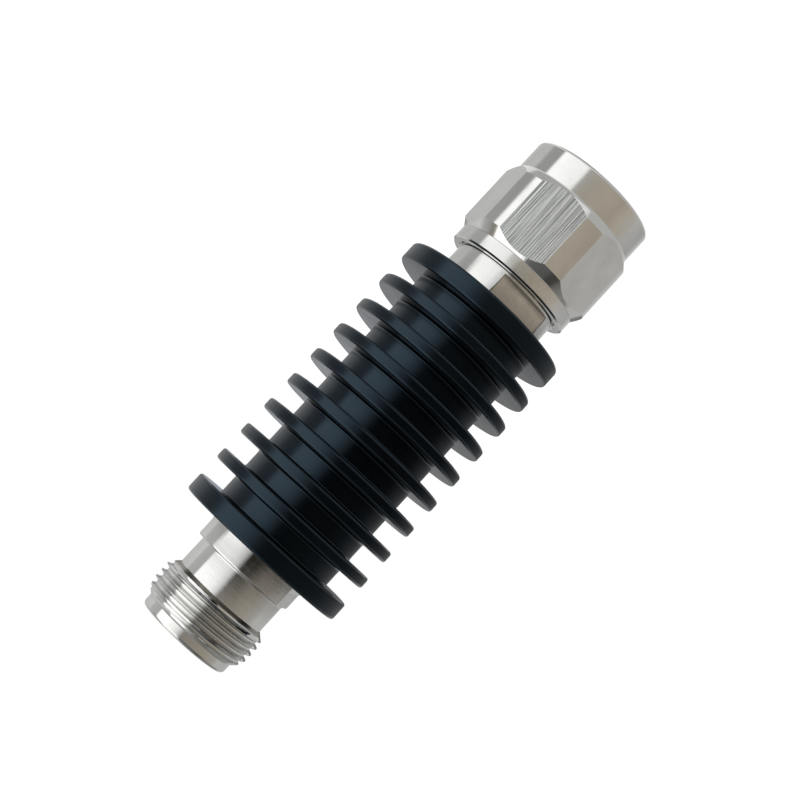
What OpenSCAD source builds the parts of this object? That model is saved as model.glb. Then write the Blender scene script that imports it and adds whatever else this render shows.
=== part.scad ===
// Fixed coaxial attenuator: a finned heat sink with a threaded jack at one end and a plug with a
// free coupling nut at the other. Millimetres. The axis is +Z: the part stands on the front face of
// the coupling nut, the jack points up, and -Y faces the viewer.

/* [Heat sink] */
// Diameter over the fins and the two end flanges
fin_d = 25; // [22:0.5:32]
// Diameter of the core between the fins
core_d = 18; // [16.4:0.1:20]
// Number of thin fins between the end flanges
fin_count = 8; // [6:1:14]
// Thickness of a thin fin
fin_t = 1.62; // [1:0.02:2.4]
// Clear gap between neighbouring fins
fin_gap = 2.76; // [1.8:0.02:4.5]
// Thickness of an end flange
flange_t = 2.62; // [1.6:0.02:4]
// Rounding of the fin and flange edges
fin_edge_r = 0.35; // [0.1:0.05:0.7]
// Fillet at the foot of a fin
fin_foot_r = 0.3; // [0.1:0.05:0.5]
// Through bore that takes both connector spigots and the chip carrier
sink_bore_d = 13; // [12.4:0.1:14]

/* [Both connectors] */
// Diameter of the collar that seats on the heat sink
collar_d = 15.9; // [15.4:0.1:16.4]
// Width across the two spanner flats of a collar
collar_af = 13.5; // [13.5:0.1:14.6]
// Length of the spigot inside the heat sink
spigot_len = 8.5; // [7:0.1:10]
// Bore of the outer conductor
line_d = 7; // [6.6:0.05:7.2]
// Depth from the jack's rim to the shoulder that the plug's sleeve meets
mate_depth = 9.1; // [8.8:0.05:9.4]
// Major diameter of the coupling thread
thread_d = 15.85; // [15.4:0.05:16]
// Turns of the coupling thread to the inch
thread_tpi = 24; // [20:1:28]
// Diameter of the insulating bead
bead_d = 9.5; // [9:0.1:10]
// Thickness of the insulating bead
bead_t = 5; // [4:0.1:5.4]
// Distance of the press ring behind the bead from the spigot's end
bush_back = 1.2; // [0.5:0.1:2]
// Diameter of the socket and of the pin's shoulder
contact_d = 3.04; // [2.8:0.02:3.2]
// Diameter of a contact where it passes the bead
contact_neck_d = 2.2; // [1.8:0.05:2.5]
// Diameter of a contact's tail
tail_d = 1.8; // [1.4:0.05:2.1]
// Distance of a contact's tail from the spigot's end
tail_back = 0.8; // [0.3:0.1:1.4]
// Length of the half-round flat on a contact's tail
tail_lap = 1.9; // [1:0.1:2.2]

/* [Jack] */
// Diameter of the plain rim ahead of the thread
rim_d = 13.52; // [12.6:0.02:13.9]
// Length of the plain rim
rim_h = 1.46; // [1:0.02:2.4]
// Length of the threaded stretch with its lead-in and run-out
thread_len = 5.74; // [4.6:0.02:7]
// Length of the taper between the rim and the thread's full crests
thread_lead = 1.3; // [1.2:0.05:2.4]
// Length of the run-out between the thread's full crests and the neck
thread_runout = 1.1; // [0.4:0.05:1.2]
// Depth of the grooves that mark the thread's turns
thread_groove = 0.4; // [0.2:0.02:0.5]
// Diameter of the neck behind the thread
neck_d = 13.44; // [12.6:0.02:13.5]
// Length of the neck
neck_h = 4.06; // [2:0.02:5]
// Length of the collar that has the spanner flats
jack_flat_h = 2.2; // [1.6:0.05:3]
// Length of the full ring between the flats and the heat sink
jack_ring_h = 0.9; // [0.5:0.05:1.6]
// Turn of the jack's flats from the viewer's side
jack_flat_turn = 80; // [0:1:180]
// Distance of the socket's tip below the rim
socket_recess = 4.3; // [4.2:0.05:4.8]
// Thickness of the wall between the mating shoulder and the bead
jack_stop_t = 3; // [2:0.1:4]

/* [Plug] */
// Length of collar in view between the nut and the heat sink
collar_show = 3.95; // [3:0.05:6]
// Turn of the plug's flats from the viewer's side
plug_flat_turn = 24; // [0:1:180]
// Outer diameter of the slotted sleeve
sleeve_d = 8.04; // [7.8:0.02:8.2]
// Length of the full ring between the flats and the nut
plug_ring_h = 0.25; // [0.1:0.05:0.6]
// Distance of the sleeve's front behind the nut's front
sleeve_recess = 2.1; // [1:0.05:3]
// Number of slots in the sleeve
sleeve_slots = 6; // [4:1:8]
// Length of the slots in the sleeve
sleeve_slot_len = 4.4; // [3:0.1:6]
// Diameter of the sleeve's base, which centres the gasket
sleeve_base_d = 10.4; // [9.8:0.1:11]
// Depth of the sleeve's base in the shell
sleeve_base_in = 2.5; // [1.5:0.1:3]
// Thickness of the wall between the sleeve's base and the bead
plug_stop_t = 1.2; // [0.8:0.1:2]
// Diameter of the centre pin
pin_d = 1.65; // [1.5:0.01:1.7]
// Length of the thin stretch of the centre pin
pin_len = 5; // [4:0.1:6]
// Distance of the pin's tip behind the sleeve's front
pin_recess = 0.9; // [0.3:0.1:2]
// Outer diameter of the gasket
gasket_d = 13.9; // [12.8:0.1:14.4]
// Thickness of the gasket
gasket_t = 1.6; // [1:0.1:2]

/* [Coupling nut] */
// Length of the nut
nut_len = 17.15; // [16.4:0.05:19]
// Diameter over the nut's rounded corners
nut_corner_d = 20.4; // [19.8:0.1:21.6]
// Width across the nut's six flats
nut_af = 19; // [18.9:0.05:19.5]
// Turn of the nut's flats from the viewer's side
nut_turn = -12; // [-60:1:60]
// Diameter of the plain front cylinder
nut_front_d = 18.6; // [17.8:0.05:18.8]
// Length of the plain front cylinder
nut_front_h = 4.3; // [3:0.05:6]
// Diameter of the rear skirt
nut_skirt_d = 18.7; // [17.8:0.05:18.8]
// Length of the rear skirt
nut_skirt_h = 2; // [1:0.05:3]
// Slope of the two cones that lead up to the corners
nut_cone_deg = 30; // [20:1:45]
// Length of the plain lead-in bore at the front
nut_lead_h = 1.7; // [1:0.1:2.5]
// Length of the threaded stretch of the bore
nut_thread_h = 7.4; // [6:0.1:8]
// Width of the split retaining ring along the axis
ring_w = 1.05; // [0.8:0.05:1.2]
// Opening of the split retaining ring
ring_split = 2.4; // [1:0.1:4]

/* [Attenuator chip] */
// Distance of the chip from the carrier's ends
chip_margin = 4; // [1:0.1:5]
// Width of the chip
chip_w = 5.6; // [4:0.1:6]
// Thickness of the chip
chip_t = 1; // [0.6:0.05:1.4]
// Distance of the chip's cover from the chip's ends
cover_margin = 3.5; // [2.6:0.1:4.5]
// Width of the chip's cover
cover_w = 4.8; // [3:0.1:5]
// Thickness of the chip's cover
cover_t = 0.8; // [0.5:0.05:1.2]
// Width of a connecting lead
lead_w = 1.2; // [0.8:0.05:1.6]
// Thickness of a connecting lead
lead_t = 0.15; // [0.1:0.01:0.3]
// Length of a lead on the chip
lead_lap = 2.2; // [1:0.1:2.4]

/* [Clearances] */
// Radial gap between pieces that are pressed or slid into each other
slip = 0.02; // [0.01:0.005:0.05]
// Radial running gap between the nut and the plug's collar
nut_run = 0.08; // [0.03:0.01:0.1]
// Gap between the retaining ring and the nut's groove
ring_play = 0.1; // [0.05:0.01:0.15]
// Radial gap between a mated sleeve and the jack's bore
sleeve_gap = 0.05; // [0.02:0.01:0.1]
// Radial gap between the pin of a mated plug and the socket
pin_gap = 0.02; // [0.01:0.01:0.05]
// Room between the milled channel and the sides of the chip
chip_room = 0.5; // [0.2:0.05:0.8]

/* [Hidden] */
$fn = 96;

// Depth of the thread, depth and setback of the retaining ring's groove, and squeeze of the gasket
thread_depth = 0.55;
groove_depth = 0.6;
groove_back = 1.3;
gasket_squeeze = 0.3;
// An inch, and the slope of the thread's flanks
inch = 25.4;
flank_deg = 30;
// Length of the contacts' flange behind a bead, and room between a lead and the step on a tail
contact_flange_h = 1;
lead_gap = 0.1;
// Most of an edge that the rounding of one corner may take, and a full turn
edge_share = 0.45;
full_turn = 360;
// Small edge breaks and the overshoot of cutting bodies
edge_r = 0.25;
rim_edge_r = 0.5;
collar_edge_r = 0.45;
nut_edge_r = 0.4;
nut_rear_r = 0.6;
over = 0.1;

// Places along the axis, from the nut's front upwards
sink_z = nut_len + collar_show;
sink_len = 2 * flange_t + fin_count * fin_t + (fin_count + 1) * fin_gap;
jack_z = sink_z + sink_len;
flat_z = jack_z + jack_ring_h;
neck_z = flat_z + jack_flat_h;
thread_z = neck_z + neck_h;
rim_z = thread_z + thread_len;
top_z = rim_z + rim_h;
shoulder_z = top_z - mate_depth;
jack_bead_z = shoulder_z - jack_stop_t - bead_t;
sleeve_z = sleeve_recess;
gasket_z = sleeve_z + mate_depth - gasket_squeeze;
plug_z = gasket_z + gasket_t;
plug_base_z = plug_z + sleeve_base_in;
plug_bead_z = plug_base_z + plug_stop_t;
spigot_low_z = sink_z + spigot_len;
spigot_high_z = jack_z - spigot_len;
chip_low_z = spigot_low_z + chip_margin;
chip_high_z = spigot_high_z - chip_margin;
tail_low_z = spigot_low_z - tail_back;
tail_high_z = spigot_high_z + tail_back;
groove_z = plug_z + groove_back;

// Radii that several pieces share
spigot_r = sink_bore_d / 2 - slip;
collar_r = collar_d / 2;
line_r = line_d / 2;
bead_r = bead_d / 2;
contact_r = contact_d / 2;
tail_r = tail_d / 2;
jack_bore_r = sleeve_d / 2 + sleeve_gap;
nut_bore_r = collar_r + nut_run;
rim_r = rim_d / 2;
neck_r = neck_d / 2;
thread_r = thread_d / 2;
thread_root_r = thread_r - thread_depth;
nut_lead_r = thread_r + slip;
groove_r = collar_r - groove_depth;
ring_in_r = groove_r + slip;
ring_out_r = nut_bore_r + groove_depth - ring_play;

// Pitch of the thread, the stretch that has full crests, and the grooves that fit in it
thread_pitch = inch / thread_tpi;
crest_z = thread_z + thread_runout;
lead_z = rim_z - thread_lead;
thread_turns = floor((lead_z - crest_z) / thread_pitch);

// One corner of an outline as an arc; the radius gives way where an edge is too short for it
function bend(a, b, c, r, steps = 4) =
    let (to_a = a - b, to_c = c - b, p = to_a / norm(to_a), q = to_c / norm(to_c))
    let (half = acos(max(-1, min(1, p * q))) / 2)
    let (reach = min(r / tan(half), edge_share * norm(to_a), edge_share * norm(to_c)))
    let (mid = p + q, centre = b + mid / norm(mid) * reach / cos(half))
    let (first = b + p * reach - centre, last = b + q * reach - centre)
    let (start = atan2(first.y, first.x))
    let (sweep = atan2(last.y, last.x) - start)
    let (turn = sweep - full_turn * round(sweep / full_turn))
    [for (i = [0:steps])
        let (angle = start + turn * i / steps)
        centre + norm(first) * [cos(angle), sin(angle)]];

// An outline from corners written as [radius, z] or [radius, z, rounding]
function rounded(corners) =
    let (n = len(corners), flat = [for (c = corners) [c[0], c[1]]])
    [for (i = [0:n - 1])
        each len(corners[i]) == 2 ? [flat[i]]
            : bend(flat[(i + n - 1) % n], flat[i], flat[(i + 1) % n], corners[i][2])];

module turned(corners) {
    rotate_extrude() polygon(rounded(corners));
}

// Turns a piece so that its +X side faces the viewer's side, and then by an angle about the axis
module facing(turn) {
    rotate([0, 0, -90 - turn]) children();
}

// Two opposite cuts that leave spanner flats on a collar
module spanner_cuts(turn, z, h) {
    for (side = [0, 180])
        facing(turn + side)
            translate([collar_af / 2, -collar_r, z]) cube([collar_r, 2 * collar_r, h]);
}

// Corners of one land of the heat sink between two levels
function land(z, t) = [[fin_d / 2, z, fin_edge_r], [fin_d / 2, z + t, fin_edge_r]];
function groove(z) = [[core_d / 2, z, fin_foot_r], [core_d / 2, z + fin_gap, fin_foot_r]];
function fin_level(i) = sink_z + flange_t + fin_gap + i * (fin_t + fin_gap);

module heat_sink() {
    bore_r = sink_bore_d / 2;
    color("#23272d")
        turned(concat(
            [[bore_r, sink_z]],
            land(sink_z, flange_t),
            groove(sink_z + flange_t),
            [for (i = [0:fin_count - 1])
                each concat(land(fin_level(i), fin_t), groove(fin_level(i) + fin_t))],
            land(jack_z - flange_t, flange_t),
            [[bore_r, jack_z]]));
}

// Corners of one groove of the jack's thread, counted from the neck
function thread_cut(i) =
    let (z = (crest_z + lead_z) / 2 + (i - (thread_turns + 1) / 2) * thread_pitch)
    let (half = thread_groove * tan(flank_deg))
    [[thread_r, z - half], [thread_r - thread_groove, z], [thread_r, z + half]];

module female_shell() {
    color("#b9bab6")
        difference() {
            turned(concat(
                [[bead_r + slip, spigot_high_z],
                 [spigot_r, spigot_high_z, edge_r],
                 [spigot_r, jack_z],
                 [collar_r, jack_z],
                 [collar_r, neck_z, collar_edge_r],
                 [neck_r, neck_z, edge_r],
                 [neck_r, thread_z, edge_r],
                 [thread_r, crest_z]],
                [for (i = [1:1:thread_turns]) each thread_cut(i)],
                [[thread_r, lead_z],
                 [rim_r, rim_z, edge_r],
                 [rim_r, top_z, rim_edge_r],
                 [jack_bore_r + rim_edge_r, top_z],
                 [jack_bore_r, top_z - rim_edge_r],
                 [jack_bore_r, shoulder_z],
                 [line_r, shoulder_z],
                 [line_r, jack_bead_z + bead_t],
                 [bead_r + slip, jack_bead_z + bead_t]]));
            spanner_cuts(jack_flat_turn, flat_z, jack_flat_h + over);
        }
}

// A bead with a plain hole, and the ring that holds it
module bead(z) {
    color("#f1efe8")
        turned([
            [contact_neck_d / 2 + slip, z],
            [bead_r, z],
            [bead_r, z + bead_t],
            [contact_neck_d / 2 + slip, z + bead_t]]);
}

module press_ring(z, end_z) {
    color("#c2a15c")
        turned([
            [line_r, z],
            [bead_r, z, edge_r],
            [bead_r, end_z, edge_r],
            [line_r, end_z]]);
}

module female_insulator() {
    bead(jack_bead_z);
}

module female_bush() {
    press_ring(spigot_high_z + bush_back, jack_bead_z);
}

module female_contact() {
    tip_z = top_z - socket_recess;
    hole_r = pin_d / 2 + pin_gap;
    hole_len = 5.6;
    slot_w = 0.3;
    slot_len = 4.4;
    color("#d8b45c")
        difference() {
            turned([
                [0, tail_high_z],
                [tail_r, tail_high_z, edge_r],
                [tail_r, jack_bead_z - contact_flange_h],
                [contact_r, jack_bead_z - contact_flange_h],
                [contact_r, jack_bead_z],
                [contact_neck_d / 2, jack_bead_z],
                [contact_neck_d / 2, jack_bead_z + bead_t],
                [contact_r, jack_bead_z + bead_t],
                [contact_r, tip_z, edge_r],
                [hole_r + edge_r, tip_z],
                [hole_r, tip_z - edge_r],
                [hole_r, tip_z - hole_len],
                [0, tip_z - hole_len]]);
            for (turn = [0, 90])
                rotate([0, 0, turn + 45])
                    translate([-contact_r - over, -slot_w / 2, tip_z - slot_len])
                        cube([contact_d + 2 * over, slot_w, slot_len + over]);
            tail_flat(tail_high_z - over);
        }
}

// Cuts a tail half away, so that a lead lies on the flat at the axis
module tail_flat(z) {
    translate([-tail_d, 0, z]) cube([2 * tail_d, tail_d, tail_lap + over]);
}

module chip_carrier() {
    channel_w = chip_w + 2 * chip_room;
    color("#c58f5a")
        difference() {
            translate([0, 0, spigot_low_z])
                cylinder(r = spigot_r, h = spigot_high_z - spigot_low_z);
            translate([-channel_w / 2, -chip_t, spigot_low_z - over])
                cube([channel_w, sink_bore_d, spigot_high_z - spigot_low_z + 2 * over]);
        }
}

// A flat plate of width w and thickness t, whose lower face is at y, between two levels
module plate(w, y, t, z, end_z) {
    translate([-w / 2, y, z]) cube([w, t, end_z - z]);
}

module attenuator_chip() {
    color("#e8e4d8") plate(chip_w, -chip_t, chip_t, chip_low_z, chip_high_z);
}

module chip_cover() {
    color("#f4f1e6") plate(cover_w, 0, cover_t, chip_low_z + cover_margin, chip_high_z - cover_margin);
}

module input_lead() {
    color("#c9c9c4") plate(lead_w, 0, lead_t, tail_low_z - tail_lap + lead_gap, chip_low_z + lead_lap);
}

module output_lead() {
    color("#c9c9c4") plate(lead_w, 0, lead_t, chip_high_z - lead_lap, tail_high_z + tail_lap - lead_gap);
}

module male_shell() {
    color("#b9bab6")
        difference() {
            turned([
                [bead_r + slip, spigot_low_z],
                [bead_r + slip, plug_bead_z],
                [line_r, plug_bead_z],
                [line_r, plug_base_z],
                [sleeve_base_d / 2 + slip, plug_base_z],
                [sleeve_base_d / 2 + slip, plug_z],
                [collar_r, plug_z, edge_r],
                [collar_r, groove_z],
                [groove_r, groove_z],
                [groove_r, groove_z + ring_w + ring_play],
                [collar_r, groove_z + ring_w + ring_play],
                [collar_r, sink_z],
                [spigot_r, sink_z],
                [spigot_r, spigot_low_z, edge_r]]);
            spanner_cuts(plug_flat_turn, nut_len + plug_ring_h, collar_show - plug_ring_h);
        }
}

module male_insulator() {
    bead(plug_bead_z);
}

module male_bush() {
    press_ring(plug_bead_z + bead_t, spigot_low_z - bush_back);
}

module male_pin() {
    tip_z = sleeve_z + pin_recess;
    tip_taper = 0.8;
    color("#d8b45c")
        difference() {
            turned([
                [0, tip_z],
                [pin_d / 4, tip_z, edge_r],
                [pin_d / 2, tip_z + tip_taper],
                [pin_d / 2, tip_z + pin_len],
                [contact_r, tip_z + pin_len, edge_r],
                [contact_r, plug_bead_z],
                [contact_neck_d / 2, plug_bead_z],
                [contact_neck_d / 2, plug_bead_z + bead_t],
                [contact_r, plug_bead_z + bead_t],
                [contact_r, plug_bead_z + bead_t + contact_flange_h],
                [tail_r, plug_bead_z + bead_t + contact_flange_h],
                [tail_r, tail_low_z, edge_r],
                [0, tail_low_z]]);
            tail_flat(tail_low_z - tail_lap);
        }
}

module male_outer_contact() {
    boss_h = gasket_t - 2 * gasket_squeeze;
    slot_w = 0.4;
    color("#c9cac6")
        difference() {
            turned([
                [line_r, sleeve_z, edge_r],
                [sleeve_d / 2, sleeve_z, edge_r],
                [sleeve_d / 2, plug_z - boss_h, edge_r],
                [sleeve_base_d / 2, plug_z - boss_h, edge_r],
                [sleeve_base_d / 2, plug_base_z],
                [line_r, plug_base_z]]);
            for (i = [0:sleeve_slots - 1])
                rotate([0, 0, i * full_turn / sleeve_slots])
                    translate([line_r - 2 * edge_r, -slot_w / 2, sleeve_z - over])
                        cube([sleeve_d / 2 - line_r + 4 * edge_r, slot_w, sleeve_slot_len + over]);
        }
}

module gasket() {
    color("#a8443a")
        turned([
            [sleeve_base_d / 2 + slip, gasket_z, edge_r],
            [gasket_d / 2, gasket_z, edge_r],
            [gasket_d / 2, plug_z],
            [sleeve_base_d / 2 + slip, plug_z]]);
}

module retaining_ring() {
    ring_z = groove_z + ring_play;
    color("#cfae63")
        difference() {
            turned([
                [ring_in_r, ring_z],
                [ring_out_r, ring_z],
                [ring_out_r, ring_z + ring_w],
                [ring_in_r, ring_z + ring_w]]);
            translate([0, -ring_split / 2, ring_z - over])
                cube([2 * ring_out_r, ring_split, ring_w + 2 * over]);
        }
}

module coupling_nut() {
    front_cone_h = (nut_corner_d - nut_front_d) / 2 / tan(nut_cone_deg);
    rear_cone_h = (nut_corner_d - nut_skirt_d) / 2 / tan(nut_cone_deg);
    thread_end_z = nut_lead_h + nut_thread_h;
    groove_high_z = groove_z + ring_w + 2 * ring_play;
    color("#bcbdb9")
        intersection() {
            turned([
                [nut_lead_r, 0, edge_r],
                [nut_front_d / 2, 0, nut_edge_r],
                [nut_front_d / 2, nut_front_h, edge_r],
                [nut_corner_d / 2, nut_front_h + front_cone_h, edge_r],
                [nut_corner_d / 2, nut_len - nut_skirt_h - rear_cone_h, edge_r],
                [nut_skirt_d / 2, nut_len - nut_skirt_h, edge_r],
                [nut_skirt_d / 2, nut_len, nut_rear_r],
                [nut_bore_r, nut_len, edge_r],
                [nut_bore_r, groove_high_z],
                [nut_bore_r + groove_depth, groove_high_z],
                [nut_bore_r + groove_depth, groove_z],
                [nut_bore_r, groove_z],
                [nut_bore_r, thread_end_z],
                [thread_root_r, thread_end_z - nut_bore_r + thread_root_r],
                [thread_root_r, nut_lead_h + nut_lead_r - thread_root_r],
                [nut_lead_r, nut_lead_h]]);
            facing(nut_turn)
                rotate([0, 0, 30])
                    translate([0, 0, -over])
                        cylinder(d = nut_af / cos(30), h = nut_len + 2 * over, $fn = 6);
        }
}

heat_sink();
female_shell();
female_insulator();
female_bush();
female_contact();
chip_carrier();
attenuator_chip();
chip_cover();
input_lead();
output_lead();
male_shell();
male_insulator();
male_bush();
male_pin();
male_outer_contact();
gasket();
retaining_ring();
coupling_nut();
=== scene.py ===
import math
import random

import bmesh
import bpy
from mathutils import Matrix, Vector


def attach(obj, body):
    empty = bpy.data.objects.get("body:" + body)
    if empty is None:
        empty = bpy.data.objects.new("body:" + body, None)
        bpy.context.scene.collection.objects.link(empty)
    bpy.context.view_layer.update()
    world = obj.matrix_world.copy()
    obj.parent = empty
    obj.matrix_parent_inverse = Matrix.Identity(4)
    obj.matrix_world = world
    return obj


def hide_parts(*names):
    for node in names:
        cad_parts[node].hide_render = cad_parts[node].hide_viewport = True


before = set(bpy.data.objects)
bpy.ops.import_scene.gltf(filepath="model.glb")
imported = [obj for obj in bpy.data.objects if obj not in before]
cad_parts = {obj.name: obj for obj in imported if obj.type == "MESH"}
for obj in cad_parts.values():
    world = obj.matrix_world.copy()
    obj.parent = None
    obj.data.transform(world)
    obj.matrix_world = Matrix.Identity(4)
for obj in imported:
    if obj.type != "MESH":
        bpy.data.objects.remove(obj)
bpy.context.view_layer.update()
scene = bpy.context.scene
scene.view_settings.view_transform = "Standard"

# Sizes in millimetres; a turn is counted from -Y, the viewer's side, towards -X. The sizes are those of the
# part's source, apart from the nut's cones and rear end, the thread and the edge of the jack's collar,
# which were refined to the photograph.
MM = 0.001
NUT_LEN = 17.0
PLUG_FLAT_Z = 17.4
JACK_Z = 64.14
FLAT_Z = 65.04
NECK_Z = 67.24
THREAD_Z = 71.38
RIM_Z = 77.04
TOP_Z = 78.5
SHOULDER_Z = 69.4
SPIGOT_HIGH_Z = 55.64
JACK_BEAD_TOP_Z = 66.4
GROOVE_Z = 13.8
SPIGOT_R = 6.48
COLLAR_R = 7.95
COLLAR_HALF_AF = 6.75
NECK_R = 6.72
RIM_R = 6.76
BORE_R = 4.07
LINE_R = 3.5
BEAD_R = 4.77
JACK_FLAT_TURN = 80
PLUG_FLAT_TURN = 24
THREAD_R = 7.925
PITCH = 25.4 / 24
EDGE_R = 0.25
RIM_EDGE_R = 0.5
COLLAR_EDGE_R = 0.27
NUT_EDGE_R = 0.4
NUT_REAR_CUT = 0.22
NUT_MOUTH_CUT = 0.3
CONE_FOOT_R = 0.5
NUT_FRONT_R = 9.3
NUT_FRONT_H = 4.35
NUT_SKIRT_R = 9.35
NUT_SKIRT_Z = 15.03
NUT_FOOT_R = 9.213
NUT_CORNER_R = 10.2
NUT_HALF_AF = 9.5
NUT_TURN = -12
NUT_CONE = math.tan(math.radians(36))
NUT_REAR_CONE = math.tan(math.radians(35))
NUT_LEAD_R = 7.945
NUT_LEAD_H = 1.7
NUT_CORE_R = 7.375
NUT_THREAD_END = 9.1
NUT_BORE_R = 8.03
NUT_GROOVE_R = 8.63
NUT_GROOVE_TOP = 15.05

# Edges that turn by more than this stay crisp, and points closer than this are one
SHARP_DEG = 19
MERGE = 0.0005
# Rows just outside a rounded corner, which keep the shading of the long faces plain
SUPPORT = 1.08
# A rounding takes at most this share of the two edges beside its corner
REACH_SHARE = 0.45
# Section of the thread: depth, flank angle, and the roundings of crest and root
THREAD_DEPTH = 0.64
FLANK = math.radians(23)
CREST_FLAT = 0.02
CREST_R = 0.05
ROOT_R = 0.13


def bend(a, b, c, r, steps=6):
    """One corner of an outline as an arc between two support rows, the rule of the part's source."""
    to_a = a - b
    to_c = c - b
    half = to_a.angle(to_c) / 2
    reach = min(r / math.tan(half), REACH_SHARE * to_a.length, REACH_SHARE * to_c.length)
    middle = (to_a.normalized() + to_c.normalized()).normalized()
    centre = b + middle * reach / math.cos(half)
    first = b + to_a.normalized() * reach - centre
    last = b + to_c.normalized() * reach - centre
    start = math.atan2(first.y, first.x)
    turn = (math.atan2(last.y, last.x) - start + 3 * math.pi) % (2 * math.pi) - math.pi
    points = [b + to_a.normalized() * reach * SUPPORT]
    for i in range(steps + 1):
        angle = start + turn * i / steps
        points.append(centre + first.length * Vector((math.cos(angle), math.sin(angle))))
    points.append(b + to_c.normalized() * reach * SUPPORT)
    return points


def rounded(corners):
    """An open outline from corners written as (radius, z) or (radius, z, rounding)."""
    flat = [Vector(c[:2]) for c in corners]
    points = []
    for i, corner in enumerate(corners):
        if len(corner) == 2:
            points.append(flat[i])
        else:
            points.extend(bend(flat[i - 1], flat[i], flat[i + 1], corner[2]))
    return [tuple(p) for p in points]


def turns(count, special=()):
    """Angles once round the axis in degrees, with the special ones kept exactly."""
    special = sorted(s % 360 for s in special)
    plain = [360 * i / count for i in range(count)]
    gap = 180 / count
    kept = [a for a in plain if all(abs((a - s + 180) % 360 - 180) > gap for s in special)]
    angles = sorted(kept + special)
    return angles + [angles[0] + 360]


def loft(name, angles, section):
    """A closed ring-shaped mesh; section(turn) gives the loop of (radius, z) at one angle."""
    mesh = bmesh.new()
    columns = []
    for turn in angles:
        side = math.sin(math.radians(turn))
        front = math.cos(math.radians(turn))
        columns.append([mesh.verts.new((-r * side * MM, -r * front * MM, z * MM)) for r, z in section(turn)])
    rows = len(columns[0])
    for left, right in zip(columns, columns[1:]):
        for i in range(rows):
            j = (i + 1) % rows
            mesh.faces.new((left[i], right[i], right[j], left[j]))
    bmesh.ops.remove_doubles(mesh, verts=mesh.verts, dist=MERGE * MM)
    bmesh.ops.dissolve_degenerate(mesh, edges=mesh.edges, dist=MERGE * MM)
    bmesh.ops.recalc_face_normals(mesh, faces=mesh.faces)
    data = bpy.data.meshes.new(name)
    mesh.to_mesh(data)
    mesh.free()
    data.polygons.foreach_set("use_smooth", [True] * len(data.polygons))
    data.set_sharp_from_angle(angle=math.radians(SHARP_DEG))
    piece = bpy.data.objects.new(name, data)
    scene.collection.objects.link(piece)
    return piece


def thread_section():
    """Half a turn of the thread, from a crest to the next root: distance along the axis, and depth."""
    tilt = math.pi / 2 - FLANK
    points = [(0.0, 0.0)]
    for i in range(5):
        angle = tilt * i / 4
        points.append((CREST_FLAT + CREST_R * math.sin(angle), CREST_R * (1 - math.cos(angle))))
    crest_end, crest_low = points[-1]
    root_high = THREAD_DEPTH - ROOT_R * (1 - math.cos(tilt))
    root_start = crest_end + (root_high - crest_low) * math.tan(FLANK)
    for i in range(1, 4):
        share = i / 4
        along = crest_end + (root_start - crest_end) * share
        points.append((along, crest_low + (root_high - crest_low) * share))
    for i in range(6):
        angle = tilt * (1 - i / 5)
        along = root_start + ROOT_R * (math.sin(tilt) - math.sin(angle))
        points.append((along, THREAD_DEPTH - ROOT_R * (1 - math.cos(angle))))
    return points


half_turn = thread_section()
thread_turn = [(-a, d) for a, d in half_turn[:0:-1]] + half_turn


def thread_rows(turn, low, high, radius_at, phase=0.0):
    """Rows of a right-hand thread at one angle; radius_at(z, depth) gives the radius."""
    rows = []
    for k in range(math.ceil((high - low) / PITCH) + 2):
        for along, depth in thread_turn:
            z = low + PITCH * (k + 0.5 - turn / 360 - phase) + along
            z = min(max(z, low), high)
            rows.append((radius_at(z, depth), z))
    return rows


# Jack body: the ring-shaped grooves of the solid become a helical thread
FLAT_HALF = math.degrees(math.acos(COLLAR_HALF_AF / COLLAR_R))
LEAD_SLOPE = 1.1
CREST_START_R = 7.2
CREST_SLOPE = 0.42
RUN_SLOPE = 1.1
# Mesh columns across a flat, the row that starts the flats' cut, and the row under the run-out
FLAT_TURN_STEP = 1.25
FLAT_LEDGE = 0.001
RUN_FOOT = 0.05
THREAD_PHASE = 0.43
below_thread = rounded([
    (BEAD_R, SPIGOT_HIGH_Z), (SPIGOT_R, SPIGOT_HIGH_Z, EDGE_R), (SPIGOT_R, JACK_Z), (COLLAR_R, JACK_Z),
    (COLLAR_R, FLAT_Z), (COLLAR_R, FLAT_Z + FLAT_LEDGE), (COLLAR_R, NECK_Z, COLLAR_EDGE_R),
    (NECK_R, NECK_Z, EDGE_R), (NECK_R, THREAD_Z - RUN_FOOT)])
above_thread = rounded([
    (RIM_R, RIM_Z), (RIM_R, TOP_Z, RIM_EDGE_R), (BORE_R + RIM_EDGE_R, TOP_Z), (BORE_R, TOP_Z - RIM_EDGE_R),
    (BORE_R, SHOULDER_Z), (LINE_R, SHOULDER_Z), (LINE_R, JACK_BEAD_TOP_Z), (BEAD_R, JACK_BEAD_TOP_Z)])


def flat_radius(turn, middle, half_af):
    """Distance from the axis to a flat at one angle, counted from the flat's own direction."""
    return half_af / math.cos(math.radians((turn - middle + 180) % 360 - 180))


def jack_thread_radius(z, depth):
    """Radius on the jack's thread, held back by the run-out below it and the lead-in above it."""
    run_out = NECK_R + RUN_SLOPE * (z - THREAD_Z)
    lead_in = min(RIM_R + LEAD_SLOPE * (RIM_Z - z), CREST_START_R + CREST_SLOPE * (RIM_Z - z))
    return min(THREAD_R - depth, run_out, lead_in)


def jack_section(turn):
    """Loop of the jack at one angle; two spanner flats cut the collar down nearly to the neck."""
    middle = JACK_FLAT_TURN + 180 * round((turn - JACK_FLAT_TURN) / 180)
    flat = flat_radius(turn, middle, COLLAR_HALF_AF)
    loop = []
    for r, z in below_thread:
        if FLAT_Z < z < NECK_Z + 2 * EDGE_R:
            r = min(r, flat)
        loop.append((r, z))
    return loop + thread_rows(turn, THREAD_Z, RIM_Z, jack_thread_radius, THREAD_PHASE) + above_thread


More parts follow.
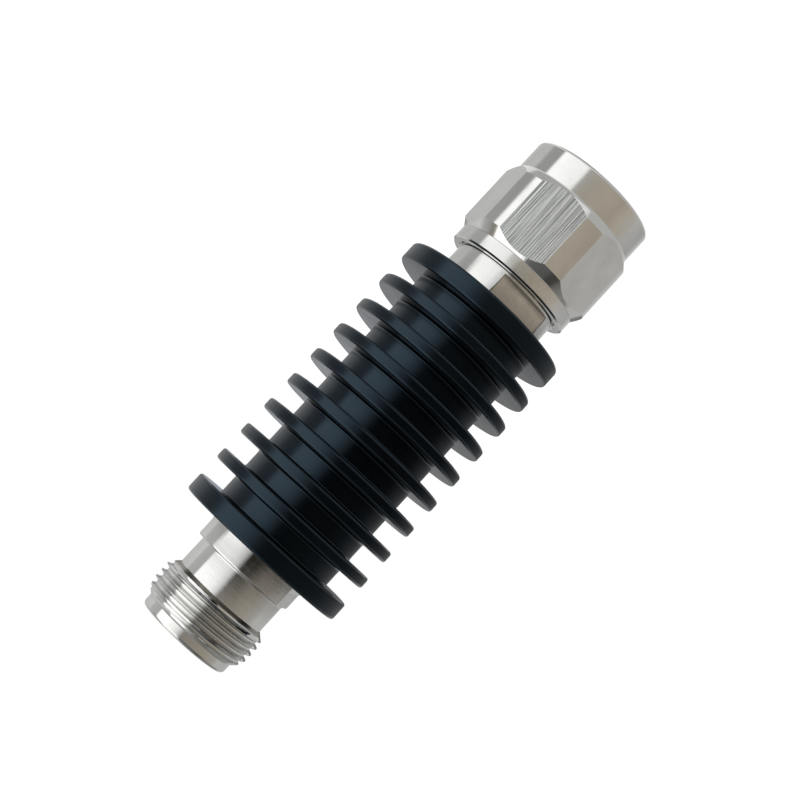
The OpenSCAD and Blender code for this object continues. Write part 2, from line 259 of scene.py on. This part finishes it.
flat_turns = [-FLAT_HALF, FLAT_HALF] + [FLAT_TURN_STEP * i for i in range(-30, 31)]
flat_columns = [JACK_FLAT_TURN + side + turn for side in (0, 180) for turn in flat_turns]
jack = loft("jack_body", turns(144, flat_columns), jack_section)
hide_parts("female_shell")
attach(jack, "attenuator")

# Coupling nut: six flats on the turned blank, milling marks on the flat in view, thread in the bore
CORNER_HALF = math.degrees(math.acos(NUT_HALF_AF / NUT_CORNER_R))
MARK_COUNT = 84
MARK_DEPTH = 0.011
STRONG_SHARE = 0.16
STRONG_MARK = 1.7
PLAIN_MARK = 0.8
# Mesh rows: along the flats, at the step under the skirt, and before the chamfer at the rear
LAND_ROWS = 7
FOOT_STEP = 0.03
CUT_ROW = 0.05
random.seed(11)
mark_turns = [NUT_TURN - CORNER_HALF + 2 * CORNER_HALF * (i + 0.5) / MARK_COUNT for i in range(MARK_COUNT)]
marks = {}
for turn in mark_turns:
    strength = STRONG_MARK if random.random() < STRONG_SHARE else PLAIN_MARK
    marks[round(turn % 360, 4)] = [MARK_DEPTH * strength * random.random() for _ in range(3)]


def mark_depth(turn, share):
    """Depth of a milling mark at one angle and share of the flat's length."""
    levels = marks.get(round(turn % 360, 4))
    if levels is None:
        return 0
    place = share * 2
    k = min(int(place), 1)
    return levels[k] + (levels[k + 1] - levels[k]) * (place - k) * 0.5


def land_radius(turn):
    """Radius at one angle of the nut's widest stretch: a flat, or the round blank at a corner."""
    middle = NUT_TURN + 60 * round((turn - NUT_TURN) / 60)
    return min(NUT_CORNER_R, flat_radius(turn, middle, NUT_HALF_AF))


def nut_thread_radius(z, depth):
    """Radius on the nut's thread, widened by the lead-in at the mouth and the run-out at its end."""
    lead_in = NUT_LEAD_R - (z - NUT_LEAD_H)
    run_out = NUT_BORE_R - (NUT_THREAD_END - z)
    return max(NUT_CORE_R + depth, lead_in, run_out)


nut_front = rounded([
    (NUT_LEAD_R, NUT_LEAD_H), (NUT_LEAD_R, 0, EDGE_R), (NUT_FRONT_R, 0, NUT_EDGE_R),
    (NUT_FRONT_R, NUT_FRONT_H, CONE_FOOT_R), (NUT_FRONT_R + NUT_CONE, NUT_FRONT_H + 1)])[:-1]
NUT_CUT_Z = NUT_LEN - NUT_REAR_CUT
nut_rear = rounded([
    (NUT_FOOT_R, NUT_SKIRT_Z), (NUT_SKIRT_R, NUT_SKIRT_Z + FOOT_STEP), (NUT_SKIRT_R, NUT_CUT_Z - CUT_ROW),
    (NUT_SKIRT_R, NUT_CUT_Z), (NUT_SKIRT_R - NUT_REAR_CUT, NUT_LEN), (NUT_BORE_R + NUT_MOUTH_CUT, NUT_LEN),
    (NUT_BORE_R, NUT_LEN - NUT_MOUTH_CUT), (NUT_BORE_R, NUT_GROOVE_TOP), (NUT_GROOVE_R, NUT_GROOVE_TOP),
    (NUT_GROOVE_R, GROOVE_Z), (NUT_BORE_R, GROOVE_Z), (NUT_BORE_R, NUT_THREAD_END)])


def nut_section(turn):
    """Loop of the nut at one angle; the rear cone's foot lies a little under the skirt."""
    land = land_radius(turn)
    low = NUT_FRONT_H + (land - NUT_FRONT_R) / NUT_CONE
    high = NUT_SKIRT_Z - (land - NUT_FOOT_R) / NUT_REAR_CONE
    loop = list(nut_front)
    for i in range(LAND_ROWS + 1):
        share = i / LAND_ROWS
        depth = mark_depth(turn, share)
        loop.append((land - depth, low + (high - low) * share))
    inside = thread_rows(turn, NUT_LEAD_H, NUT_THREAD_END, nut_thread_radius)
    return loop + nut_rear + inside[::-1]


nut_edges = [NUT_TURN + 60 * k + edge for k in range(6) for edge in (-CORNER_HALF, CORNER_HALF)]
nut = loft("nut_body", turns(144, nut_edges + mark_turns), nut_section)
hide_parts("coupling_nut")
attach(nut, "nut")


# Materials
class Shader:
    """A node material with a short way to add and join nodes."""

    def __init__(self, name):
        self.material = bpy.data.materials.new(name)
        self.material.use_nodes = True
        self.tree = self.material.node_tree
        self.surface = self.tree.nodes["Principled BSDF"]
        self.place = self.add("ShaderNodeTexCoord").outputs["Object"]

    def add(self, kind, **settings):
        node = self.tree.nodes.new(kind)
        for key, value in settings.items():
            setattr(node, key, value)
        return node

    def join(self, value, socket):
        if isinstance(value, bpy.types.NodeSocket):
            self.tree.links.new(value, socket)
        else:
            socket.default_value = value

    def math(self, operation, a, b=0.0, c=0.0):
        node = self.add("ShaderNodeMath", operation=operation)
        for value, socket in zip((a, b, c), node.inputs):
            self.join(value, socket)
        return node.outputs[0]

    def span(self, value, low, high, to_low, to_high):
        node = self.add("ShaderNodeMapRange")
        for v, socket in zip((value, low, high, to_low, to_high), node.inputs):
            self.join(v, socket)
        return node.outputs[0]

    def noise(self, vector, scale, detail=2.0, roughness=0.5):
        node = self.add("ShaderNodeTexNoise")
        self.join(vector, node.inputs["Vector"])
        node.inputs["Scale"].default_value = scale
        node.inputs["Detail"].default_value = detail
        node.inputs["Roughness"].default_value = roughness
        return node.outputs["Fac"]

    def vector(self, x, y, z):
        node = self.add("ShaderNodeCombineXYZ")
        for value, socket in zip((x, y, z), node.inputs):
            self.join(value, socket)
        return node.outputs[0]

    def split(self):
        return self.add_linked("ShaderNodeSeparateXYZ", self.place).outputs

    def add_linked(self, kind, source):
        node = self.add(kind)
        self.tree.links.new(source, node.inputs[0])
        return node

    def mix(self, fac, a, b):
        node = self.add("ShaderNodeMix", data_type="RGBA")
        self.join(fac, node.inputs[0])
        self.join((*a, 1) if isinstance(a, tuple) else a, node.inputs[6])
        self.join((*b, 1) if isinstance(b, tuple) else b, node.inputs[7])
        return node.outputs[2]

    def bump(self, height, strength, distance, under=None):
        node = self.add("ShaderNodeBump")
        node.inputs["Strength"].default_value = strength
        node.inputs["Distance"].default_value = distance
        self.join(height, node.inputs["Height"])
        if under is not None:
            self.join(under, node.inputs["Normal"])
        return node.outputs[0]

    def set(self, **values):
        for key, value in values.items():
            socket = self.surface.inputs[key.replace("_", " ")]
            self.join((*value, 1) if isinstance(value, tuple) else value, socket)


def lathe_marks(shader, scale):
    """Fine rings round the axis, on walls and on end faces alike."""
    x, y, z = shader.split()
    radius = shader.math("POWER", shader.math("ADD", shader.math("MULTIPLY", x, x),
                                              shader.math("MULTIPLY", y, y)), 0.5)
    return shader.noise(shader.vector(radius, 0.0, z), scale, 3.0, 0.6)


def turned_metal(name, light, dark, rough_low, rough_high, ring_depth, scale=9000):
    """Plated or plain turned metal: rings, a faint cloudiness and small scuffs."""
    shader = Shader(name)
    cloud = shader.noise(shader.place, 260, 4.0, 0.6)
    scuff = shader.noise(shader.place, 1500, 6.0, 0.7)
    rings = lathe_marks(shader, scale)
    tint = shader.mix(shader.span(cloud, 0.35, 0.75, 0.0, 1.0), light, dark)
    shader.set(Metallic=1.0, Base_Color=tint)
    rough = shader.span(shader.math("ADD", cloud, shader.math("MULTIPLY", scuff, 0.5)), 0.45, 1.05,
                        rough_low, rough_high)
    shader.set(Roughness=rough)
    first = shader.bump(rings, 0.35, ring_depth)
    shader.set(Normal=shader.bump(scuff, 0.06, ring_depth, first))
    return shader


PLATE_LIGHT = (0.68, 0.685, 0.67)
PLATE_DARK = (0.62, 0.62, 0.6)
FINE_RINGS = 0.003 * MM
PLATE_RINGS = 0.004 * MM
PLAIN_RINGS = 0.006 * MM
nickel = turned_metal("nickel_plate", PLATE_LIGHT, PLATE_DARK, 0.07, 0.15, PLATE_RINGS).material
bright_nickel = turned_metal("bright_plate", (0.72, 0.71, 0.68), (0.65, 0.64, 0.6), 0.06, 0.14,
                             FINE_RINGS).material
gold = turned_metal("gold_plate", (0.86, 0.62, 0.25), (0.78, 0.53, 0.2), 0.1, 0.2, FINE_RINGS).material
brass = turned_metal("turned_brass", (0.72, 0.54, 0.27), (0.62, 0.44, 0.2), 0.16, 0.3, PLAIN_RINGS).material
copper = turned_metal("milled_copper", (0.74, 0.42, 0.28), (0.6, 0.31, 0.2), 0.2, 0.36, PLAIN_RINGS).material
silver = turned_metal("silver_ribbon", (0.8, 0.79, 0.76), (0.7, 0.68, 0.64), 0.16, 0.3, FINE_RINGS).material


def flat_axes(shader, turn_deg):
    """Distances from the axis towards a flat and across it, for the flat that faces one turn, and height."""
    x, y, z = shader.split()
    turn = math.radians(turn_deg)
    outward = shader.math("ADD", shader.math("MULTIPLY", x, -math.sin(turn)),
                          shader.math("MULTIPLY", y, -math.cos(turn)))
    across = shader.math("ADD", shader.math("MULTIPLY", x, -math.cos(turn)),
                         shader.math("MULTIPLY", y, math.sin(turn)))
    return outward, across, z


STREAK_SCALE = 7000
STREAK_STRETCH = 0.012
STREAK_DEPTH = 0.01 * MM
# Painted reflection: the dark and the light tone of the streaks on the nut's flat, which also make the flat
# darker than the plate overall
STREAK_PAINTED_DARK_REFLECTION = (0.19, 0.2, 0.195)
STREAK_PAINTED_BRIGHT_REFLECTION = (0.75, 0.77, 0.76)


def nut_metal():
    """Nickel plate of the nut, with the lengthwise streaks that milling left on one flat: real bumps, and a
    dark and light tone that is painted reflection.
    """
    shader = turned_metal("nut_plate", PLATE_LIGHT, PLATE_DARK, 0.07, 0.15, PLATE_RINGS)
    turn = math.radians(NUT_TURN)
    outward, across, z = flat_axes(shader, NUT_TURN)
    normal = shader.add("ShaderNodeVectorMath", operation="DOT_PRODUCT")
    shader.join(shader.add("ShaderNodeTexCoord").outputs["Normal"], normal.inputs[0])
    normal.inputs[1].default_value = (-math.sin(turn), -math.cos(turn), 0)
    facing = shader.span(normal.outputs["Value"], 0.94, 0.96, 0.0, 1.0)
    high = shader.span(outward, (NUT_HALF_AF - 0.05) * MM, (NUT_HALF_AF - 0.03) * MM, 0.0, 1.0)
    on_flat = shader.math("MULTIPLY", facing, high)
    along = shader.math("MULTIPLY", z, STREAK_STRETCH)
    streak = shader.noise(shader.vector(across, 0.0, along), STREAK_SCALE, 4.0, 0.7)
    old = shader.surface.inputs["Normal"].links[0].from_socket
    height = shader.math("MULTIPLY", streak, on_flat)
    shader.set(Normal=shader.bump(height, 0.9, STREAK_DEPTH, old))
    rough = shader.surface.inputs["Roughness"].links[0].from_socket
    shader.set(Roughness=shader.math("ADD", rough, shader.math("MULTIPLY", on_flat, 0.1)))
    plate = shader.surface.inputs["Base Color"].links[0].from_socket
    # Painted reflection along the milling marks: the streaks' pattern sets a dark or a light plate colour on
    # the flat
    cut = shader.mix(shader.span(streak, 0.36, 0.64, 0.0, 1.0), STREAK_PAINTED_DARK_REFLECTION, STREAK_PAINTED_BRIGHT_REFLECTION)
    shader.set(Base_Color=shader.mix(on_flat, plate, cut))
    return shader.material


def jack_metal():
    """Nickel plate of the jack, with a dark ring of painted shade at the thread's run-out, which is also
    duller there.
    """
    shader = turned_metal("jack_plate", PLATE_LIGHT, PLATE_DARK, 0.05, 0.11, PLATE_RINGS)
    z = shader.split()[2]
    # Painted shade: a dark ring on the run-out under the thread, where the plate is also rougher
    start = shader.span(z, THREAD_Z * MM, (THREAD_Z + 0.06) * MM, 0.0, 1.0)
    end = shader.span(z, (THREAD_Z + 0.45) * MM, (THREAD_Z + 0.55) * MM, 1.0, 0.0)
    ring = shader.math("MULTIPLY", start, end)
    plate = shader.surface.inputs["Base Color"].links[0].from_socket
    shader.set(Base_Color=shader.mix(ring, plate, (0.3, 0.285, 0.25)))
    rough = shader.surface.inputs["Roughness"].links[0].from_socket
    shader.set(Roughness=shader.math("ADD", rough, shader.math("MULTIPLY", ring, 0.22)))
    return shader.material


def plug_metal():
    """Nickel plate of the plug, with painted shade along the edges and in the corner of the flats."""
    shader = turned_metal("plug_plate", PLATE_LIGHT, PLATE_DARK, 0.07, 0.15, PLATE_RINGS)
    outward, across, z = flat_axes(shader, PLUG_FLAT_TURN)
    outward = shader.math("ABSOLUTE", outward)
    across = shader.math("ABSOLUTE", across)
    off_flat = shader.math("ABSOLUTE", shader.math("SUBTRACT", outward, COLLAR_HALF_AF * MM))
    flat = shader.span(off_flat, 0.01 * MM, 0.03 * MM, 1.0, 0.0)
    above = shader.span(z, (PLUG_FLAT_Z - 0.02) * MM, (PLUG_FLAT_Z - 0.01) * MM, 0.0, 1.0)
    # Painted shade: darker towards the flat's side edges and towards the step at its end
    edge = shader.span(across, 4.0 * MM, 4.15 * MM, 0.0, 0.6)
    corner = shader.span(z, PLUG_FLAT_Z * MM, (PLUG_FLAT_Z + 0.8) * MM, 0.7, 0.0)
    on_flat = shader.math("MULTIPLY", flat, above)
    dark = shader.math("MULTIPLY", on_flat, shader.math("MAXIMUM", edge, corner))
    plate = shader.surface.inputs["Base Color"].links[0].from_socket
    shader.set(Base_Color=shader.mix(dark, plate, (0.12, 0.11, 0.1)))
    return shader.material


def anodised():
    """Satin black anodised aluminium with faint turning rings, cloudiness and a fine grain."""
    shader = Shader("black_anodise")
    cloud = shader.noise(shader.place, 180, 4.0, 0.6)
    grain = shader.noise(shader.place, 14000, 2.0, 0.6)
    rings = lathe_marks(shader, 5200)
    tint = shader.mix(cloud, (0.0006, 0.0008, 0.0012), (0.0014, 0.0019, 0.0027))
    shader.set(Base_Color=tint, Roughness=shader.span(cloud, 0.3, 0.7, 0.19, 0.24))
    shader.set(Specular_IOR_Level=0.5, Specular_Tint=(0.5, 0.76, 1.0))
    first = shader.bump(rings, 0.25, 0.000006)
    shader.set(Normal=shader.bump(grain, 0.12, 0.000006, first))
    return shader.material


def plain_solid(name, light, dark, rough, grain_scale, depth, cloud_scale=300):
    """Ceramic, plastic or rubber: a cloudy colour and a fine grain."""
    shader = Shader(name)
    cloud = shader.noise(shader.place, cloud_scale, 4.0, 0.6)
    grain = shader.noise(shader.place, grain_scale, 3.0, 0.6)
    shader.set(Base_Color=shader.mix(cloud, light, dark))
    shader.set(Roughness=shader.span(grain, 0.3, 0.7, rough - 0.06, rough + 0.06))
    shader.set(Normal=shader.bump(grain, 0.3, depth))
    return shader.material


black = anodised()
nut_nickel = nut_metal()
jack_nickel = jack_metal()
plug_nickel = plug_metal()
insulator = plain_solid("white_bead", (0.87, 0.86, 0.83), (0.81, 0.8, 0.76), 0.42, 5000, 0.000008)
ceramic = plain_solid("chip_plate", (0.82, 0.8, 0.74), (0.74, 0.71, 0.65), 0.5, 9000, 0.000006)
cover = plain_solid("chip_lid", (0.88, 0.86, 0.8), (0.8, 0.78, 0.72), 0.45, 9000, 0.000006)
rubber = plain_solid("red_gasket", (0.44, 0.085, 0.055), (0.36, 0.06, 0.04), 0.55, 4000, 0.00002)

finishes = {
    "heat_sink": black, "female_insulator": insulator, "male_insulator": insulator, "female_bush": brass,
    "male_bush": brass, "female_contact": gold, "male_pin": gold, "chip_carrier": copper,
    "attenuator_chip": ceramic, "chip_cover": cover, "input_lead": silver, "output_lead": silver,
    "male_shell": plug_nickel, "male_outer_contact": bright_nickel, "gasket": rubber, "retaining_ring": brass,
    "female_shell": nickel, "coupling_nut": nut_nickel}
for node_name, material in finishes.items():
    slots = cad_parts[node_name].data.materials
    slots.clear()
    slots.append(material)
jack.data.materials.append(jack_nickel)
nut.data.materials.append(nut_nickel)


# Camera: place, tilt and roll fitted to the outline of the photograph
CAMERA_DISTANCE = 206.3
CAMERA_Z = 55.8
CAMERA_SIDE = 0.1
CAMERA_TILT = math.radians(5.09)
PART_ROLL = math.radians(47.4)
SENSOR = 36.0
FOCAL_PIXELS = 1601
IMAGE_PIXELS = 800
back = Vector((0, -math.cos(CAMERA_TILT), math.sin(CAMERA_TILT)))
down = Vector((0, -math.sin(CAMERA_TILT), -math.cos(CAMERA_TILT)))
right = math.cos(PART_ROLL) * down - math.sin(PART_ROLL) * Vector((1, 0, 0))
up = math.sin(PART_ROLL) * down + math.cos(PART_ROLL) * Vector((1, 0, 0))
lens = bpy.data.cameras.new("camera")
lens.sensor_width = SENSOR
lens.lens = FOCAL_PIXELS / IMAGE_PIXELS * SENSOR
lens.clip_start = 0.01
lens.clip_end = 20
camera = bpy.data.objects.new("camera", lens)
scene.collection.objects.link(camera)
camera.matrix_world = Matrix.Translation(Vector((CAMERA_SIDE, -CAMERA_DISTANCE, CAMERA_Z)) * MM) @ Matrix(
    (right, up, back)).transposed().to_4x4()
scene.camera = camera


def background_ray(tree):
    """1 for rays that should see the plain white background, 0 for those that only gather light."""
    path = tree.nodes.new("ShaderNodeLightPath")
    value = path.outputs["Is Camera Ray"]
    for name in ("Is Glossy Ray", "Is Transmission Ray"):
        either = tree.nodes.new("ShaderNodeMath")
        either.operation = "MAXIMUM"
        tree.links.new(value, either.inputs[0])
        tree.links.new(path.outputs[name], either.inputs[1])
        value = either.outputs[0]
    return value


# World: white behind the part, a dimmer even fill for its light
FILL = 0.5
world = bpy.data.worlds.new("studio")
world.use_nodes = True
scene.world = world
tree = world.node_tree
level = tree.nodes.new("ShaderNodeMapRange")
tree.links.new(background_ray(tree), level.inputs[0])
level.inputs[3].default_value = FILL
level.inputs[4].default_value = 1.0
background = tree.nodes["Background"]
background.inputs["Color"].default_value = (1, 1, 1, 1)
tree.links.new(level.outputs[0], background.inputs["Strength"])

# Floor: white where the light reaches it, with the part's soft shadow kept
FLOOR_R = 2.0
FLOOR_GLOW = 0.87
FLOOR_SHADE = 0.36
FLOOR_DROP = 0.00002
mesh = bmesh.new()
bmesh.ops.create_circle(mesh, cap_ends=True, segments=96, radius=FLOOR_R)
data = bpy.data.meshes.new("floor")
mesh.to_mesh(data)
mesh.free()
floor = bpy.data.objects.new("floor", data)
scene.collection.objects.link(floor)
floor.location.z = -FLOOR_DROP
floor.visible_glossy = False
floor_paint = bpy.data.materials.new("floor_paint")
floor_paint.use_nodes = True
tree = floor_paint.node_tree
paint = tree.nodes["Principled BSDF"]
paint.inputs["Base Color"].default_value = (0.85, 0.85, 0.85, 1)
paint.inputs["Roughness"].default_value = 0.9
paint.inputs["Specular IOR Level"].default_value = 0.0
glow = tree.nodes.new("ShaderNodeEmission")
glow.inputs["Strength"].default_value = FLOOR_GLOW
gap = tree.nodes.new("ShaderNodeBsdfTransparent")
gap.inputs["Color"].default_value = (0, 0, 0, 1)
shaded = tree.nodes.new("ShaderNodeMixShader")
shaded.inputs[0].default_value = FLOOR_SHADE
tree.links.new(gap.outputs[0], shaded.inputs[1])
tree.links.new(paint.outputs[0], shaded.inputs[2])
lit = tree.nodes.new("ShaderNodeAddShader")
tree.links.new(shaded.outputs[0], lit.inputs[0])
tree.links.new(glow.outputs[0], lit.inputs[1])
blend = tree.nodes.new("ShaderNodeMixShader")
tree.links.new(background_ray(tree), blend.inputs[0])
tree.links.new(paint.outputs[0], blend.inputs[1])
tree.links.new(lit.outputs[0], blend.inputs[2])
tree.links.new(blend.outputs[0], tree.nodes["Material Output"].inputs["Surface"])
data.materials.append(floor_paint)

# Light tent: a wall and a lid round the part that only reflections see, bright on the photo's upper side
TENT_R = 0.7
TENT_LOW = -4.2
TENT_HIGH = 1.4
# Bands of the wall from low to high: the heights between which each takes over from the one below, and
# its stops as the turn from the viewer's side in degrees, brightness and warmth
SEEN_BELOW = [(-180, 0.53, 0), (0, 0.53, 0), (30, 0.58, 0.1), (180, 0.58, 0)]
SEEN_BY_EDGES = [(-180, 0.95, 0), (-20, 0.95, 0), (0, 0.6, 0), (180, 0.6, 0)]
SEEN_BY_PLUG = [(-180, 0.8, 0), (-150, 0.62, 0), (-114, 0.68, 0), (-106, 0.45, 0), (-83, 0.42, 0),
                (-78.5, 1.5, 0), (-60, 1.42, 0), (-40, 1.35, 0), (-30, 1.3, 0), (-25, 0.5, 0.2),
                (-10, 0.5, 0.7), (22, 0.5, 0.9), (48, 0.46, 0.95), (70, 0.55, 0.8), (96, 0.56, 0.2),
                (134, 0.46, 0), (180, 0.8, 0)]
SEEN_BY_SKIRT = [(-180, 0.8, 0), (-150, 0.6, 0), (-114, 0.62, 0), (-106, 0.53, 0), (-83, 0.52, 0),
                 (-78.5, 1.3, 0), (-60, 1.25, 0), (-40, 1.2, 0), (-28, 1.2, 0), (-20, 1, 0), (-14, 0.8, 0.1),
                 (-8, 0.54, 0.5), (22, 0.55, 0.9), (48, 0.54, 0.95), (70, 0.58, 0.8), (96, 0.58, 0.2),
                 (134, 0.48, 0), (180, 0.8, 0)]
SEEN_BY_SINK = [(-180, 0.62, -0.7), (-174, 0.6, -0.7), (-170, 0.2, 0), (-155, 0.5, 0), (-144, 0.56, 0),
                (-130, 0.66, 0), (-114, 0.66, 0), (-104, 0.42, 0), (-76, 0.36, 0), (-69, 1.6, 0),
                (-45, 1.5, 0), (-32, 1.2, 0), (-20, 0.62, 0), (-7, 0.012, 0.2), (60, 0.006, 0.5),
                (92, 0.055, 0.4), (112, 0.18, 0.1), (150, 0.22, 0), (165, 0.22, 0), (180, 0.2, 0)]
SEEN_BY_COLLAR = [(-180, 0.6, 0), (-150, 0.66, 0), (-114, 0.8, 0), (-106, 0.6, 0), (-81, 0.54, 0),
                  (-77, 1, 0), (-45, 0.95, 0), (-28, 0.9, 0), (-17, 0.75, 0), (-7, 0, 0.3), (12, 0.02, 0.6),
                  (36, 0.26, 0.8), (62, 0.3, 0.7), (88, 0.4, 0.3), (150, 0.45, 0), (180, 0.4, 0)]
SEEN_BY_JACK = [(-180, 0.4, 0), (-165, 0.55, 0), (-150, 0.66, 0), (-114, 0.8, 0), (-106, 0.6, 0),
                (-81, 0.54, 0), (-77, 1.6, 0), (-45, 1.55, 0), (-28, 1.35, 0), (-16, 0.98, 0),
                (-5, 0.32, 0.5), (22, 0.34, 0.7), (62, 0.42, 0.8), (88, 0.46, 0.4), (106, 0.58, 0.1),
                (150, 0.55, 0), (168, 0.48, 0), (180, 0.4, 0)]
SEEN_BY_CONES = [(-180, 0.7, 0), (-116, 0.58, 0), (-100, 0.42, 0.1), (-94, 0.3, 0.5), (-88, 0.32, 0.5),
                 (-84, 1.7, 0.2), (-70, 1.7, 0.1), (-16, 1.6, 0), (-10, 0.8, 0), (-3, 0.16, 0), (28, 0.13, 0),
                 (45, 0.12, 0), (52, 0.07, 0.3), (66, 0.07, 0.3), (75, 0.2, 0.3), (95, 0.3, 0.2),
                 (130, 0.28, 0.2), (160, 0.32, 0), (180, 0.6, 0)]
SEEN_ABOVE = [(-180, 0.45, 0), (-165, 0.6, 0), (-152, 1.6, 0), (-108, 1.6, 0), (-95, 0.6, 0), (90, 0.3, 0.2),
              (140, 0.2, 0.4), (160, 0.3, 0.2), (172, 0.45, 0), (180, 0.45, 0)]
BANDS = [((-0.62, -0.6), SEEN_BY_EDGES), ((-0.28, -0.25), SEEN_BY_PLUG), ((-0.129, -0.126), SEEN_BY_SKIRT),
         ((-0.104, -0.1015), SEEN_BY_SINK), ((0.0935, 0.0965), SEEN_BY_COLLAR),
         ((0.112, 0.115), SEEN_BY_JACK), ((0.34, 0.44), SEEN_BY_CONES), ((1.36, 1.39), SEEN_ABOVE)]
WARM = (1.0, 0.87, 0.7)
TENT_POWER = 4.0


def ring_light(tree, angle, stops):
    """Colour round one band of the tent, from its stops."""
    ramp = tree.nodes.new("ShaderNodeValToRGB")
    elements = ramp.color_ramp.elements
    while len(elements) > 1:
        elements.remove(elements[-1])
    for i, (turn, value, warmth) in enumerate(stops):
        place = (turn + 180) / 360
        element = elements[0] if i == 0 else elements.new(place)
        element.position = place
        element.color = [value / TENT_POWER * (1 + warmth * (w - 1)) for w in WARM] + [1]
    tree.links.new(angle, ramp.inputs[0])
    return ramp.outputs[0]


mesh = bmesh.new()
bmesh.ops.create_cone(mesh, cap_ends=False, segments=128, radius1=TENT_R, radius2=TENT_R,
                      depth=TENT_HIGH - TENT_LOW)
bmesh.ops.create_circle(mesh, cap_ends=True, segments=128, radius=TENT_R,
                        matrix=Matrix.Translation((0, 0, (TENT_HIGH - TENT_LOW) / 2)))
data = bpy.data.meshes.new("light_tent")
mesh.to_mesh(data)
mesh.free()
tent = bpy.data.objects.new("light_tent", data)
scene.collection.objects.link(tent)
tent.location.z = (TENT_HIGH + TENT_LOW) / 2
tent.visible_camera = False
tent.visible_diffuse = False
tent.visible_shadow = False
tent_light = Shader("tent_light")
tree = tent_light.tree
position = tent_light.add("ShaderNodeNewGeometry").outputs["Position"]
x, y, z = tent_light.add_linked("ShaderNodeSeparateXYZ", position).outputs
minus_x = tent_light.math("MULTIPLY", x, -1.0)
minus_y = tent_light.math("MULTIPLY", y, -1.0)
angle = tent_light.span(tent_light.math("ARCTAN2", minus_x, minus_y), -math.pi, math.pi, 0.0, 1.0)
colour = ring_light(tree, angle, SEEN_BELOW)
for levels, stops in BANDS:
    colour = tent_light.mix(tent_light.span(z, *levels, 0.0, 1.0), colour, ring_light(tree, angle, stops))
shine = tent_light.add("ShaderNodeEmission")
shine.inputs["Strength"].default_value = TENT_POWER
tree.links.new(colour, shine.inputs["Color"])
tree.nodes.remove(tent_light.surface)
tree.links.new(shine.outputs[0], tree.nodes["Material Output"].inputs["Surface"])
data.materials.append(tent_light.material)


def soft_lamp(name, place, aim, size, power):
    """A large soft lamp that neither the camera nor reflections see."""
    lamp = bpy.data.lights.new(name, "AREA")
    lamp.shape = "RECTANGLE"
    lamp.size, lamp.size_y = size
    lamp.energy = power
    obj = bpy.data.objects.new(name, lamp)
    scene.collection.objects.link(obj)
    obj.location = place
    obj.rotation_mode = "QUATERNION"
    obj.rotation_quaternion = (Vector(aim) - Vector(place)).to_track_quat("-Z", "Y")
    obj.visible_camera = False
    obj.visible_glossy = False


soft_lamp("key", (0.32, -0.34, 0.42), (0, 0, 0.04), (0.5, 0.5), 1.1)
soft_lamp("top", (0.0, 0.05, 0.7), (0, 0, 0), (0.9, 0.9), 1.6)
